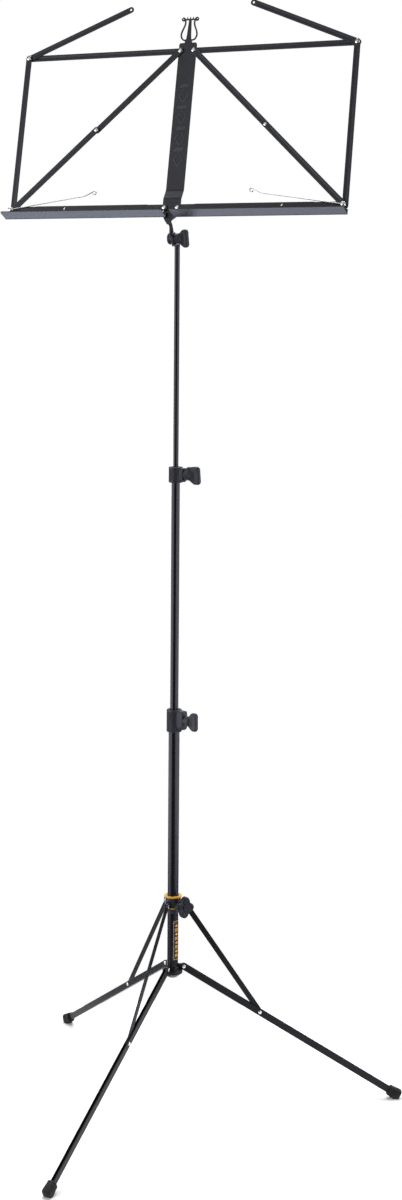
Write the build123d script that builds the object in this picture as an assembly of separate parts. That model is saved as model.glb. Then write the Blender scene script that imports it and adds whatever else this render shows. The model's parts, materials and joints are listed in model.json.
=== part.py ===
from build123d import *
import os
from math import atan2, cos, degrees, hypot, radians, sin, sqrt, tan

# Folding music stand: a tripod that closes upward, a three-section mast and a desk that
# folds in two. Everything is worked out about the mast axis (x = y = 0, floor at z = 0,
# front towards -Y) and moved at the end, so that the origin is the bottom centre of the box.

# ---- mast ----
BASE_TUBE_R = 8.0
BASE_TUBE_BORE_R = 6.8
BASE_TUBE_Z = (181.0, 552.0)
MID_TUBE_R = 6.0
MID_TUBE_BORE_R = 5.0
MID_TUBE_Z = (500.0, 898.0)
ROD_R = 3.75
ROD_Z = (850.0, 1214.5)
ROD_SOCKET_R, ROD_SOCKET_DEPTH = 2.6, 9.5   # takes the pin of the tilter's head
BUSH_LENGTH = 22.0
BUSH_FLOOR = 3.0
RUNNING = 0.05                     # radial clearance of everything that turns or slides

# ---- tripod ----
LEG_AZIMUTHS = (24.0, 144.0, 264.0)
HUB_DISH_R, HUB_SOCKET_R = 14.5, 9.6
HUB_Z = (178.0, 184.0, 188.5, 193.0)   # dome's bottom, dish's bottom and top, socket's top
HUB_SLOT_R, HUB_TONGUE_HEIGHT = 11.0, 7.0   # how deep the leg slots reach in, tongue's height
LEG_PIVOT = (16.0, 192.5)          # radius from the mast, height
FOOT_CENTRE = (318.0, 8.0)
LEG_WIDTH, LEG_HEIGHT, LEG_WALL = 5.6, 9.0, 0.9
LEG_DROP = 0.5                     # the channel's middle lies this far below its pivots
LEG_LENGTH = 358.0
KNEE_R = 125.0                     # where the strut joins the leg
STRUT_WIDTH, STRUT_THICK = 7.8, 1.6
EAR_PIVOT = (17.0, 283.0)          # where the strut joins the collar
LEG_FOLDED_ANGLE = 87.0
FOOT_START, FOOT_LENGTH = 345.0, 18.5   # along the leg
FOOT_NECK, FOOT_END = (12.0, 14.0), (13.4, 17.0)   # width and height of the cap

# ---- collar ----
COLLAR_R = 11.2
COLLAR_Z = (271.5, 293.3)
COLLAR_KNOB_AZIMUTH, COLLAR_KNOB_Z = -28.0, 283.5
COLLAR_BOSS_R, COLLAR_FLANGE_R = 4.4, 12.8
COLLAR_RING_Z = (277.6, 279.2)
EAR_R, EAR_SHEET = 4.6, 1.4
LOBE_CENTRE, LOBE_R = 10.0, 5.0

# ---- clamps ----
BASE_CLAMP_R, BASE_CLAMP_Z = 10.8, (529.0, 561.0)
BASE_CLAMP_SCREW_Z = 547.0
BASE_KNOB_AZIMUTH = -16.0
BASE_BOSS_END, BASE_BOSS_HEIGHT = 19.5, 27.0
MID_CLAMP_R, MID_CLAMP_Z = 10.0, (882.5, 905.0)
MID_CLAMP_SCREW_Z = 893.5
MID_KNOB_AZIMUTH = -5.0
MID_BOSS_END, MID_BOSS_HEIGHT = 14.5, 20.0
CLAMP_BOSS_WIDTH = 12.0
SCREW_R, SCREW_SLOT_R = 2.5, 2.9    # and the clearance hole through the tubes
WING_NECK_R, WING_HALF, WING_THICK = 5.6, 13.0, 7.8

# ---- desk tilter ----
TILT_Z = 1225.5
TILT_DISC_R = 9.0
TILT_HEAD_X = (-7.0, -3.6)
TONGUE_X = (-8.9, -7.3)
TILT_CAP_X = (-13.0, -9.2)
TILT_BOLT_R = 2.5
TILT_FOOT = (10.4, 6.8, 3.1)       # block on the rod's end that carries the friction disc
TILT_WEB_HEIGHT = 8.0
TONGUE_BEND, TONGUE_HALF, TONGUE_FOOT_V = (-4.0, 1243.0), 4.0, -8.0

# ---- desk ----
DESK_TILT = 12.0                   # leans back from the vertical
DESK_FOOT = (-15.0, 1266.0)        # y, z of the line through the two bottom rivets
SPINE_HALF_PITCH = 10.0            # rivets each side of the centre line
ARM_W, ARM_H = 241.0, 231.0        # parallelogram: width and height, rivet to rivet
LAYER, SHEET = 1.6, 1.2            # pitch of the stacked layers, thickness of a bar
BAR_WIDTH = 9.0
RIVET_R, RIVET_HEAD_R, HEAD_T = 1.6, 3.0, 1.4
KNEE_HEAD_R, SMALL_RIVET_R, SMALL_HEAD_R = 2.5, 1.0, 1.7
SPACER_R = 3.5
SPINE_WIDTH = 27.0
SPINE_TOP, SPINE_BOTTOM = 242.5, -3.6
JOGGLE_V = (13.0, 27.0)
JOGGLE_BEND = 8.0
SPINE_FRONT_LAYER = 4
TRAY_LAYER, WIRE_LAYER = 5, 7
LEDGE_DEPTH, LEDGE_RISE = 19.0, 5.5
LEDGE_DROP = 14.0
LEDGE_INNER, LEDGE_OVERHANG = 6.0, 6.6
LEDGE_SHEET, LEDGE_BEND = 1.2, 1.6
SMALL_RIVET_FROM_END = 87.0
ARM_LENGTH, ARM_WIDTH = 170.0, 9.0
ARM_ANGLE = 22.8
LYRE_BAR, LYRE_WIRE = 36.5, 2.1    # crossbar's height above the spine, width of the strokes
WIRE_R = 0.75
WIRE_ANGLE, WIRE_LENGTH, WIRE_TIP, WIRE_KINK = 8.5, 120.0, 14.0, 20.0

# ---- derived ----
LEG_ANGLE = degrees(atan2(LEG_PIVOT[1] - FOOT_CENTRE[1], FOOT_CENTRE[0] - LEG_PIVOT[0]))
KNEE_ALONG = (KNEE_R - LEG_PIVOT[0]) / cos(radians(LEG_ANGLE))
KNEE_Z = LEG_PIVOT[1] - KNEE_ALONG * sin(radians(LEG_ANGLE))
STRUT_LENGTH = hypot(KNEE_R - EAR_PIVOT[0], EAR_PIVOT[1] - KNEE_Z)
STRUT_ANGLE = degrees(atan2(EAR_PIVOT[1] - KNEE_Z, EAR_PIVOT[0] - KNEE_R))
KNEE_FOLDED = (
    LEG_PIVOT[0] + KNEE_ALONG * cos(radians(LEG_FOLDED_ANGLE)),
    LEG_PIVOT[1] + KNEE_ALONG * sin(radians(LEG_FOLDED_ANGLE)),
)
EAR_FOLDED_Z = KNEE_FOLDED[1] + sqrt(STRUT_LENGTH**2 - (KNEE_FOLDED[0] - EAR_PIVOT[0]) ** 2)
STRUT_FOLDED_ANGLE = degrees(atan2(EAR_FOLDED_Z - KNEE_FOLDED[1], EAR_PIVOT[0] - KNEE_FOLDED[0]))
COLLAR_TRAVEL = EAR_FOLDED_Z - EAR_PIVOT[1]

BRACE_SUM = hypot(ARM_W, ARM_H)
BRACE_STEP = (ARM_W - ARM_H) / 2   # lower brace is longer, so that the fold closes
UPPER_BRACE = (BRACE_SUM - BRACE_STEP) / 2
LOWER_BRACE = (BRACE_SUM + BRACE_STEP) / 2
BRACE_ANGLE = degrees(atan2(ARM_H, ARM_W))

TILT = radians(DESK_TILT)
DESK_PLANE = Plane(
    origin=(0, DESK_FOOT[0], DESK_FOOT[1]), x_dir=(1, 0, 0), z_dir=(0, -cos(TILT), sin(TILT))
)

parts = {}


def layer(index):
    """Distance of a layer's middle in front of the spine's upper part."""
    return index * LAYER


def on_desk(shape):
    """Take a shape from desk coordinates (across, up the desk, forward) to the mast's."""
    return DESK_PLANE.location * shape


def desk_point(u, v, n=0.0):
    return DESK_PLANE.from_local_coords(Vector(u, v, n))


def ring(outer, inner, z0, z1):
    tube = Cylinder(outer, z1 - z0) - Cylinder(inner, z1 - z0 + 2)
    return Pos(0, 0, (z0 + z1) / 2) * tube


def disc(radius, z0, z1):
    return Pos(0, 0, (z0 + z1) / 2) * Cylinder(radius, z1 - z0)


def radial(shape, azimuth, height):
    """Turn a shape built along +Z so that it points away from the mast."""
    return Pos(0, 0, height) * Rot(0, 0, azimuth) * Rot(0, 90, 0) * shape


def dome_head(radius, thick, z0):
    """Rivet head standing on z0, flat below and rounded above."""
    head = disc(radius, z0, z0 + thick)
    return fillet(head.faces().sort_by(Axis.Z)[-1].edges(), thick * 0.72)


# ---------------------------------------------------------------- mast


def make_mast():
    base = ring(BASE_TUBE_R, BASE_TUBE_BORE_R, *BASE_TUBE_Z)
    base -= radial(disc(SCREW_SLOT_R, 0, 20), BASE_KNOB_AZIMUTH, BASE_CLAMP_SCREW_Z)
    parts["base_tube"] = base
    mid = ring(MID_TUBE_R, MID_TUBE_BORE_R, *MID_TUBE_Z)
    mid -= radial(disc(SCREW_SLOT_R, 0, 20), MID_KNOB_AZIMUTH, MID_CLAMP_SCREW_Z)
    parts["mid_tube"] = mid
    rod = chamfer(disc(ROD_R, *ROD_Z).edges().group_by(Axis.Z)[0], 0.6)
    parts["rod"] = rod - disc(ROD_SOCKET_R, ROD_Z[1] - ROD_SOCKET_DEPTH, ROD_Z[1] + 1)
    parts["mid_tube_bush"] = make_bush(BASE_TUBE_BORE_R, MID_TUBE_R, MID_TUBE_Z[0])
    parts["rod_bush"] = make_bush(MID_TUBE_BORE_R, ROD_R, ROD_Z[0])


def make_bush(bore_r, shaft_r, shaft_end):
    """Cup that slides in the tube below while the tube or rod above turns in it."""
    low = shaft_end - BUSH_FLOOR
    cup = disc(bore_r - RUNNING, low, low + BUSH_LENGTH)
    return cup - disc(shaft_r + RUNNING, shaft_end - 0.1, low + BUSH_LENGTH + 1)


def make_clamp(radius, span, bore, step_z, upper_bore, screw_z, azimuth, boss_end, boss_h):
    """Moulded clamp: a barrel on the tube's end with a boss for the thumb screw."""
    barrel = disc(radius, *span)
    barrel = fillet(barrel.edges().filter_by(GeomType.CIRCLE), 0.9)
    boss = Pos(0, 0, boss_end / 2) * Box(boss_h, CLAMP_BOSS_WIDTH, boss_end)
    barrel += radial(fillet(boss.edges().filter_by(Axis.Z), 2.0), azimuth, screw_z)
    barrel -= disc(bore, span[0] - 1, step_z)
    barrel -= disc(upper_bore, step_z - 1, span[1] + 1)
    barrel -= radial(disc(SCREW_R + RUNNING, 0, boss_end + 2), azimuth, screw_z)
    return barrel


def make_clamps():
    parts["base_clamp"] = make_clamp(
        BASE_CLAMP_R, BASE_CLAMP_Z, BASE_TUBE_R, BASE_TUBE_Z[1], MID_TUBE_R + RUNNING,
        BASE_CLAMP_SCREW_Z, BASE_KNOB_AZIMUTH, BASE_BOSS_END, BASE_BOSS_HEIGHT,
    )
    parts["mid_clamp"] = make_clamp(
        MID_CLAMP_R, MID_CLAMP_Z, MID_TUBE_R, MID_TUBE_Z[1], ROD_R + RUNNING,
        MID_CLAMP_SCREW_Z, MID_KNOB_AZIMUTH, MID_BOSS_END, MID_BOSS_HEIGHT,
    )
    base_screw = make_screw(MID_TUBE_R + 0.15, 32.0)
    mid_screw = make_screw(ROD_R + 0.15, 32.0)
    parts["base_clamp_screw"] = radial(base_screw, BASE_KNOB_AZIMUTH, BASE_CLAMP_SCREW_Z)
    parts["mid_clamp_screw"] = radial(mid_screw, MID_KNOB_AZIMUTH, MID_CLAMP_SCREW_Z)
    base_knob = Pos(0, 0, BASE_BOSS_END + 0.5) * make_wing_knob(12.0, 21.5)
    mid_knob = Pos(0, 0, MID_BOSS_END + 0.5) * Rot(0, 0, 20) * make_wing_knob(17.0, 23.5)
    parts["base_clamp_knob"] = radial(base_knob, BASE_KNOB_AZIMUTH, BASE_CLAMP_SCREW_Z)
    parts["mid_clamp_knob"] = radial(mid_knob, MID_KNOB_AZIMUTH, MID_CLAMP_SCREW_Z)


def make_screw(tip, end):
    return chamfer(disc(SCREW_R, tip, end).edges().group_by(Axis.Z)[0], 0.5)


def make_wing_knob(screw_depth, length):
    """Thumb knob on +Z: round neck that spreads into a wing across X."""
    half = make_face(Polyline(
        (0, 0), (WING_NECK_R, 0), (WING_NECK_R, 5.5), (8.0, 8.5), (WING_HALF, length - 7),
        (WING_HALF, length), (0, length), (0, 0),
    ))
    outline = half + half.mirror(Plane.YZ)
    outline = fillet(outline.vertices().filter_by(lambda p: p.Y > length - 9 and abs(p.X) > 1), 3.0)
    wing = extrude(Plane.XZ * outline, WING_THICK / 2, both=True)
    wing = fillet(wing.edges().filter_by(Axis.Y, reverse=True).group_by(Axis.Y)[0], 1.2)
    wing = fillet(wing.edges().group_by(Axis.Y)[-1], 1.2)
    knob = wing + disc(WING_NECK_R + 1.0, 0, 9.0)
    return knob - disc(SCREW_R, -1, screw_depth)


# ---------------------------------------------------------------- tripod


def make_hub():
    """Dished plate on the tube's end with three tongues that the leg channels straddle."""
    bottom, low, high, top = HUB_Z
    profile = make_face(Polyline(
        (0, bottom), (BASE_TUBE_R - 1.0, bottom), (HUB_DISH_R, low), (HUB_DISH_R, high),
        (HUB_SOCKET_R, high), (HUB_SOCKET_R, top), (0, top), (0, bottom),
    ))
    corners = profile.vertices().filter_by(lambda p: p.X > BASE_TUBE_R - 2)
    hub = revolve(Plane.XZ * fillet(corners, 0.8), Axis.Z)
    tongue_t = LEG_WIDTH - 2 * LEG_WALL - 0.4
    reach = LEG_PIVOT[0] - BASE_TUBE_R
    pivot = Pos(LEG_PIVOT[0], 0, LEG_PIVOT[1]) * Rot(90, 0, 0)
    tongue = Pos(BASE_TUBE_R + reach / 2, 0, LEG_PIVOT[1]) * Box(reach, tongue_t, HUB_TONGUE_HEIGHT)
    tongue += pivot * Cylinder(HUB_TONGUE_HEIGHT / 2, tongue_t)
    tongue -= pivot * Cylinder(RIVET_R, 2 * LEG_WIDTH)
    slot = Pos(HUB_SLOT_R + HUB_DISH_R / 2, 0, high) * Box(HUB_DISH_R, LEG_WIDTH + 0.8, 2 * (top - bottom))
    slot -= disc(HUB_SLOT_R, bottom - 1, top + 1)
    for azimuth in LEG_AZIMUTHS:
        hub -= Rot(0, 0, azimuth) * slot
    for azimuth in LEG_AZIMUTHS:
        hub += Rot(0, 0, azimuth) * tongue
    parts["leg_hub"] = hub - disc(BASE_TUBE_R, BASE_TUBE_Z[0], HUB_Z[-1] + 5)
    rivet = Pos(LEG_PIVOT[0], 0, LEG_PIVOT[1]) * make_cross_rivet(LEG_WIDTH / 2 + 0.15)
    parts["hub_rivets"] = Compound([Rot(0, 0, azimuth) * rivet for azimuth in LEG_AZIMUTHS])


def make_cross_rivet(half_grip):
    """Rivet along Y with a round head on each side of what it holds."""
    shank = disc(RIVET_R, -half_grip, half_grip)
    head = dome_head(KNEE_HEAD_R, 1.1, half_grip)
    return Rot(90, 0, 0) * (shank + head + Rot(180, 0, 0) * head)


def make_leg():
    """U channel, open upward, from the hub pivot out to the foot."""
    half_h, half_w = LEG_HEIGHT / 2, LEG_WIDTH / 2
    leg = Pos(LEG_LENGTH / 2, 0, 0) * Box(LEG_LENGTH, LEG_WIDTH, LEG_HEIGHT)
    leg += Rot(90, 0, 0) * Cylinder(half_h, LEG_WIDTH)
    inner = LEG_WIDTH - 2 * LEG_WALL
    leg -= Pos(LEG_LENGTH / 2, 0, LEG_WALL) * Box(LEG_LENGTH + 40, inner, LEG_HEIGHT)
    leg -= Pos(-LEG_HEIGHT, 0, 0) * Box(2 * LEG_HEIGHT, inner, LEG_HEIGHT + 2)
    low = leg.edges().filter_by(Axis.X).filter_by(lambda e: e.center().Z < -half_h + 0.1)
    leg = fillet(low.filter_by(lambda e: abs(e.center().Y) > half_w - 0.1), 0.8)
    leg = Pos(0, 0, -LEG_DROP) * leg
    leg -= Rot(90, 0, 0) * Cylinder(RIVET_R + RUNNING, 20)
    return leg - Pos(KNEE_ALONG, 0, 0) * Rot(90, 0, 0) * Cylinder(RIVET_R, 20)


def make_foot():
    """Rubber cap pushed over the end of the channel: it widens outward and is worn flat below."""
    across = Plane(origin=(FOOT_START, 0, 0), x_dir=(0, 1, 0), z_dir=(1, 0, 0))
    neck = across * RectangleRounded(*FOOT_NECK, 3.5)
    end = across.offset(FOOT_LENGTH) * RectangleRounded(*FOOT_END, 3.9)
    cap = loft([neck, end])
    cap = fillet(cap.faces().sort_by(Axis.X)[-1].edges(), 2.2)
    cap = fillet(cap.faces().sort_by(Axis.X)[0].edges(), 1.0)
    pocket = LEG_LENGTH - FOOT_START
    cap -= Pos(FOOT_START + pocket / 2, 0, 0) * Box(pocket, LEG_WIDTH, LEG_HEIGHT)
    return Pos(0, 0, -LEG_DROP) * cap


def make_strut():
    """Flat bar with round ends, from the knee (at the origin) up to the collar ear."""
    bar = extrude(SlotCenterToCenter(STRUT_LENGTH, STRUT_WIDTH), STRUT_THICK / 2, both=True)
    bar = Pos(STRUT_LENGTH / 2, 0, 0) * bar
    bar = fillet(bar.edges(), 0.35)
    bar -= Cylinder(RIVET_R + RUNNING, 9)
    bar -= Pos(STRUT_LENGTH, 0, 0) * Cylinder(RIVET_R + 0.2, 9)
    return Rot(90, 0, 0) * bar


def make_tripod():
    lean = Pos(LEG_PIVOT[0], 0, LEG_PIVOT[1]) * Rot(0, LEG_ANGLE, 0)
    leg, foot = lean * make_leg(), lean * make_foot()
    foot -= Pos(FOOT_CENTRE[0], 0, -20) * Box(80, 40, 40)
    knee = Pos(KNEE_R, 0, KNEE_Z)
    rivet = knee * make_cross_rivet(LEG_WIDTH / 2)
    strut = knee * Rot(0, -STRUT_ANGLE, 0) * make_strut()
    for number, azimuth in enumerate(LEG_AZIMUTHS, start=1):
        turn = Rot(0, 0, azimuth)
        parts[f"leg_{number}"] = turn * leg
        parts[f"foot_{number}"] = turn * foot
        parts[f"knee_rivet_{number}"] = turn * rivet
        parts[f"strut_{number}"] = turn * strut


def make_collar():
    """Sliding collar with three pairs of ears, its yellow bush and the locking screw."""
    body = disc(COLLAR_R, *COLLAR_Z)
    body = fillet(body.edges().group_by(Axis.Z)[0], 1.2)
    gap = STRUT_THICK / 2 + 0.3
    pin = Pos(EAR_PIVOT[0], 0, 0) * Rot(90, 0, 0)
    ear = Pos(EAR_PIVOT[0] - EAR_R + 0.6, 0, 0) * Box(2 * EAR_R - 1.2, EAR_SHEET, 2 * EAR_R)
    ear += pin * Cylinder(EAR_R, EAR_SHEET)
    ear -= pin * Cylinder(RIVET_R, 2 * EAR_SHEET)
    for azimuth in LEG_AZIMUTHS:
        for side in (-1, 1):
            body += Rot(0, 0, azimuth) * Pos(0, side * (gap + EAR_SHEET / 2), EAR_PIVOT[1]) * ear
    boss = disc(COLLAR_BOSS_R, BASE_TUBE_R, COLLAR_R + 3.8)
    body += radial(boss, COLLAR_KNOB_AZIMUTH, COLLAR_KNOB_Z)
    bush_r = BASE_TUBE_R + 1.2
    low, high = COLLAR_RING_Z
    groove = ring(COLLAR_R + 1, COLLAR_R - 0.6, low - 0.1, high + 0.1)
    body -= disc(bush_r, COLLAR_Z[0] - 1, COLLAR_Z[1] + 1)
    screw_hole = radial(disc(SCREW_R + RUNNING, 0, 2 * COLLAR_R), COLLAR_KNOB_AZIMUTH, COLLAR_KNOB_Z)
    parts["collar_body"] = body - groove - screw_hole
    bush = ring(bush_r, BASE_TUBE_R + RUNNING, COLLAR_Z[0] + 1.0, COLLAR_Z[1])
    flange = ring(COLLAR_FLANGE_R, BASE_TUBE_R + RUNNING, COLLAR_Z[1], COLLAR_Z[1] + 1.8)
    bush += fillet(flange.edges().group_by(Axis.Z)[-1], 0.7)
    parts["collar_bush"] = bush - screw_hole
    parts["collar_ring"] = ring(COLLAR_R + 0.5, COLLAR_R - 0.6, low, high)
    stub = disc(RIVET_R, gap, gap + EAR_SHEET) + dome_head(KNEE_HEAD_R, 1.1, gap + EAR_SHEET)
    pair = Pos(EAR_PIVOT[0], 0, EAR_PIVOT[1]) * (Rot(-90, 0, 0) * stub + Rot(90, 0, 0) * stub)
    parts["collar_rivets"] = Compound([Rot(0, 0, azimuth) * pair for azimuth in LEG_AZIMUTHS])
    screw = make_screw(BASE_TUBE_R + 0.15, 27.0)
    parts["collar_screw"] = radial(screw, COLLAR_KNOB_AZIMUTH, COLLAR_KNOB_Z)
    knob = Pos(0, 0, COLLAR_R + 4.8) * make_lobe_knob()
    parts["collar_knob"] = radial(knob, COLLAR_KNOB_AZIMUTH, COLLAR_KNOB_Z)


def make_lobe_knob():
    """Four-lobed hand knob on +Z with a round neck."""
    outline = Circle(LOBE_CENTRE)
    for turn in (-8, 82, 172, 262):
        outline += Rot(0, 0, turn) * Pos(LOBE_CENTRE, 0) * Circle(LOBE_R)
    outline = fillet(outline.vertices(), 2.0)
    head = extrude(Pos(0, 0, 5.0) * outline, 9.5)
    head = fillet(head.edges().group_by(Axis.Z)[-1], 1.8)
    head += disc(6.0, 0, 6.0)
    return head - disc(SCREW_R, -1, 11.0)


# ---------------------------------------------------------------- tilter


def along_x(shape):
    return Rot(0, 90, 0) * shape


def make_tilter():
    """Friction head on the rod, the bolt with its cap and the wing knob."""
    centre = Pos(0, 0, TILT_Z)
    plate = along_x(disc(TILT_DISC_R, *TILT_HEAD_X))
    foot_x, foot_y, foot_z = TILT_FOOT
    foot = Pos(TILT_HEAD_X[0] + foot_x / 2, 0, ROD_Z[1] + foot_z / 2) * Box(*TILT_FOOT)
    head = centre * plate + fillet(foot.edges().filter_by(Axis.Z), 1.5)
    web_t = TILT_HEAD_X[1] - TILT_HEAD_X[0]
    web = Pos(TILT_HEAD_X[0] + web_t / 2, 0, ROD_Z[1] + TILT_WEB_HEIGHT / 2)
    head += web * Box(web_t, foot_y, TILT_WEB_HEIGHT)
    head += disc(ROD_SOCKET_R, ROD_Z[1] - ROD_SOCKET_DEPTH + 0.5, ROD_Z[1])
    bolt_hole = centre * along_x(disc(TILT_BOLT_R, -15, 15))
    parts["tilt_head"] = head - bolt_hole
    cap = centre * along_x(disc(TILT_DISC_R - 0.4, *TILT_CAP_X))
    cap = fillet(cap.edges().group_by(Axis.X)[0], 1.6)
    parts["tilt_cap"] = cap - bolt_hole
    bolt = disc(TILT_BOLT_R, TILT_CAP_X[0], 9.0) + disc(4.2, TILT_CAP_X[0] - 1.2, TILT_CAP_X[0])
    parts["tilt_bolt"] = centre * along_x(bolt)
    knob = make_wing_knob(16.0, 20.0) - disc(TILT_BOLT_R + RUNNING, -1, 12.6)
    parts["tilt_knob"] = centre * Pos(-3.3, 0, 0) * along_x(Rot(0, 0, 12) * knob)


def make_tilt_bracket():
    """Tongue that swings in the tilter, under a tapered pressing behind the spine's foot."""
    back = layer(SPINE_FRONT_LAYER) - SHEET / 2
    pivot = DESK_PLANE.to_local_coords(Vector(0, 0, TILT_Z))
    disc_face = Pos(pivot.Y, pivot.Z) * Circle(TILT_DISC_R - 1.0)
    bend = DESK_PLANE.to_local_coords(Vector(0, *TONGUE_BEND))
    lower = make_hull((disc_face + Pos(bend.Y, bend.Z) * Circle(TONGUE_HALF)).edges())
    foot = Pos(TONGUE_FOOT_V, back - 2.2) * Circle(2.2)
    upper = make_hull((Pos(bend.Y, bend.Z) * Circle(TONGUE_HALF) + foot).edges())
    side_view = Plane(origin=(TONGUE_X[0], 0, 0), x_dir=(0, 1, 0), z_dir=(1, 0, 0))
    tongue = extrude(side_view * (lower + upper), TONGUE_X[1] - TONGUE_X[0])
    outline = make_face(Polyline(
        (-12.0, 6.0), (12.0, 6.0), (12.0, -5.0), (7.0, -13.0), (1.0, -17.0), (-2.0, -23.5),
        (-5.0, -23.5), (-11.0, -15.0), (-12.0, -5.0), (-12.0, 6.0),
    ))
    outline = fillet(outline.vertices().filter_by(lambda p: p.Y < 0), 2.0)
    pressing = extrude(Pos(0, 0, back - 3.0) * outline, 3.0)
    bracket = on_desk(pressing + tongue)
    bracket -= Pos(0, 0, TILT_Z) * along_x(disc(TILT_BOLT_R + RUNNING, -15, 15))
    return bracket


# ---------------------------------------------------------------- desk


def make_bar(length, width=BAR_WIDTH, index=0, first_hole=RIVET_R + RUNNING,
             last_hole=RIVET_R + RUNNING, sheet=SHEET):
    """Flat bar with round ends, from the origin along +X, in its layer, hollowed front and back."""
    bar = Pos(length / 2, 0) * SlotCenterToCenter(length, width)
    bar = fillet(extrude(bar, sheet / 2, both=True).edges(), 0.3)
    groove_r, depth = 8.0, 0.28
    groove = Pos(length / 2, 0, 0) * Rot(0, 90, 0) * Cylinder(groove_r, length - 2 * width)
    lift = groove_r + sheet / 2 - depth
    bar -= Pos(0, 0, lift) * groove
    bar -= Pos(0, 0, -lift) * groove
    bar -= Cylinder(first_hole, 9)
    bar -= Pos(length, 0, 0) * Cylinder(last_hole, 9)
    return Pos(0, 0, layer(index)) * bar


def pivot_rivet(front, back, heads=(True, True), shank_r=RIVET_R, head_r=RIVET_HEAD_R):
    """Rivet across the desk's layers, between two faces, with a head in front and one behind."""
    rivet = disc(shank_r, back, front)
    if heads[0]:
        rivet += dome_head(head_r, HEAD_T, front)
    if heads[1]:
        rivet += Rot(180, 0, 0) * dome_head(head_r, HEAD_T, -back)
    return rivet


def spacer(index):
    """Washer that fills one layer, with a little play."""
    low = layer(index) - LAYER + SHEET / 2 + 0.15
    high = layer(index) + LAYER - SHEET / 2 - 0.15
    return ring(SPACER_R, RIVET_R, low, high)


def make_spine():
    """Centre plate: flat upper part, a step forward above the rivets, lyre on top."""
    half, front = SHEET / 2, layer(SPINE_FRONT_LAYER)
    low, high = JOGGLE_V
    slope = atan2(front, high - low)
    shift = half * tan(slope / 2)
    profile = make_face(Polyline(
        (SPINE_BOTTOM, front - half), (low - shift, front - half), (high - shift, -half),
        (SPINE_TOP, -half), (SPINE_TOP, half), (high + shift, half), (low + shift, front + half),
        (SPINE_BOTTOM, front + half), (SPINE_BOTTOM, front - half),
    ))
    bends = profile.vertices().filter_by(lambda p: low - 2 < p.X < high + 2)
    profile = fillet(bends, JOGGLE_BEND)
    section = Plane(origin=(-SPINE_WIDTH / 2, 0, 0), x_dir=(0, 1, 0), z_dir=(1, 0, 0))
    plate = extrude(section * profile, SPINE_WIDTH)
    corners = plate.edges().filter_by(Axis.Z)
    plate = fillet(corners.filter_by(lambda e: e.center().Y > SPINE_TOP - 1), 3.0)
    corners = plate.edges().filter_by(Axis.Z)
    plate = fillet(corners.filter_by(lambda e: e.center().Y < SPINE_BOTTOM + 1), 4.0)
    plate += extrude(Pos(0, SPINE_TOP - 2.0, -half) * make_lyre(), SHEET)
    for u in (-SPINE_HALF_PITCH, SPINE_HALF_PITCH):
        for v in (0.0, ARM_H):
            plate -= Pos(u, v, 0) * Cylinder(RIVET_R, 40)
    return plate - make_stamping()


def make_stamping():
    """Plain pattern pressed into the front of the spine: lozenges with bars between them."""
    depth, count, pitch = 0.35, 4, 31.0
    bottom = 56.0 + pitch / 2
    shapes = []
    for number in range(count):
        v = bottom + number * pitch
        shapes.append(Pos(0, v) * scale(Rot(0, 0, 45) * Rectangle(9, 9), (1.0, 1.5, 1.0)))
        shapes.append(Pos(0, v + pitch / 2 - 1.5) * SlotOverall(11.0, 3.0))
    return extrude(Pos(0, 0, SHEET / 2 - depth) * (Sketch() + shapes), 2.0)


def make_lyre():
    """Outline ornament: a lyre with a middle post, two curled arms and a toothed crossbar."""
    lyre = make_face(Polyline(
        (-6.0, 0), (6.0, 0), (5.4, 4.0), (3.8, 7.5), (3.1, 14.0), (1.8, LYRE_BAR), (-1.8, LYRE_BAR),
        (-3.1, 14.0), (-3.8, 7.5), (-5.4, 4.0), (-6.0, 0),
    ))
    for side in (-1, 1):
        tips = [(6.9, LYRE_BAR - 3), (8.6, LYRE_BAR + 0.6)]
        curl = [(3.5, 6.2), (9.0, 7.2), (11.8, 12.5), (9.4, 23.0), *tips]
        lyre += trace(Spline(*[(side * x, y) for x, y in curl]), LYRE_WIRE)
        scroll = Pos(side * 10.2, LYRE_BAR + 0.6)
        lyre += scroll * (Circle(3.0) - Pos(side * 0.5, 0.3) * Circle(0.9))
    lyre += Pos(0, LYRE_BAR) * Rectangle(16.0, LYRE_WIRE)
    for x in (-4.3, 0.0, 4.3):
        lyre += Pos(x, LYRE_BAR) * make_face(Polyline((-1.3, 0), (1.3, 0), (0, 4.4), (-1.3, 0)))
    return lyre


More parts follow.
